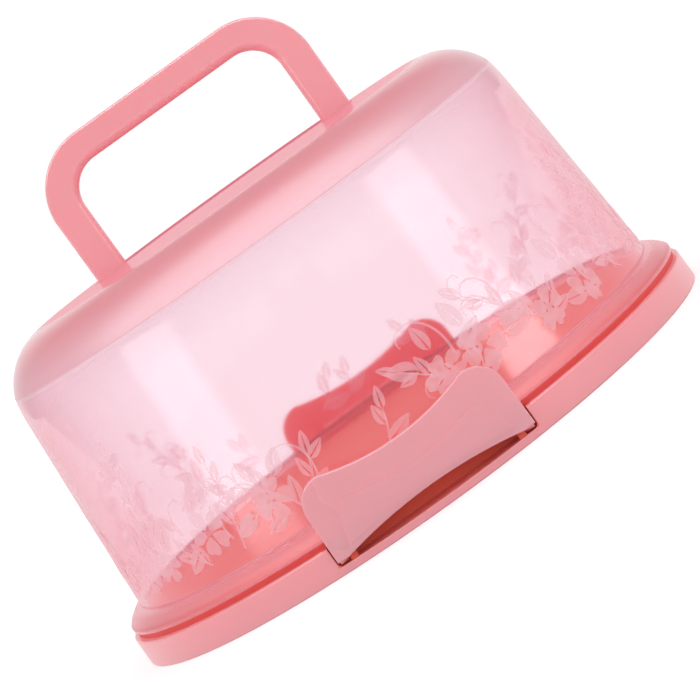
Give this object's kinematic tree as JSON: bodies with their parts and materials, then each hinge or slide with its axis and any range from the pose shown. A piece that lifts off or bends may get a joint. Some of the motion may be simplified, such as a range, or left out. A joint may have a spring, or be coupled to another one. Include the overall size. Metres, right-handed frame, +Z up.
{
  "type": "cake carrier",
  "caption": "Round cake carrier: shallow tray, clear domed lid that lifts off, folding carry handle and side latches hinged on the tray.",
  "frame": {"origin": "centre of the tray's foot, on the table", "axes": "+Z up, -Y towards the front latch, X along the handle's bar"},
  "size_m": [0.2815, 0.2846, 0.1993],
  "materials": {
    "opaque_pink": "satin moulded",
    "clear_pink": "clear tinted, glossy, with a floral print round the lower wall"
  },
  "bodies": {
    "base": {"base_tray": "opaque_pink"},
    "lid": {"lid_dome": "clear_pink"},
    "handle": {"handle": "opaque_pink"},
    "front_latch": {"front_latch": "opaque_pink"},
    "rear_latch": {"rear_latch": "opaque_pink"}
  },
  "joints": [
    {"name": "lid_lift", "type": "slide", "parent": "base", "child": "lid", "axis": [0, 0, 1], "range_m": [0, 0.16]},
    {"name": "handle_fold", "type": "hinge", "parent": "lid", "child": "handle", "pos_m": [0, 0, 0.13839], "axis": [-1, 0, 0], "range_deg": [0, 90]},
    {"name": "front_latch_open", "type": "hinge", "parent": "base", "child": "front_latch", "pos_m": [0, -0.1314, 0.0064], "axis": [1, 0, 0], "range_deg": [0, 34]},
    {"name": "rear_latch_open", "type": "hinge", "parent": "base", "child": "rear_latch", "pos_m": [0, 0.1314, 0.0064], "axis": [-1, 0, 0], "range_deg": [0, 34]}
  ]
}
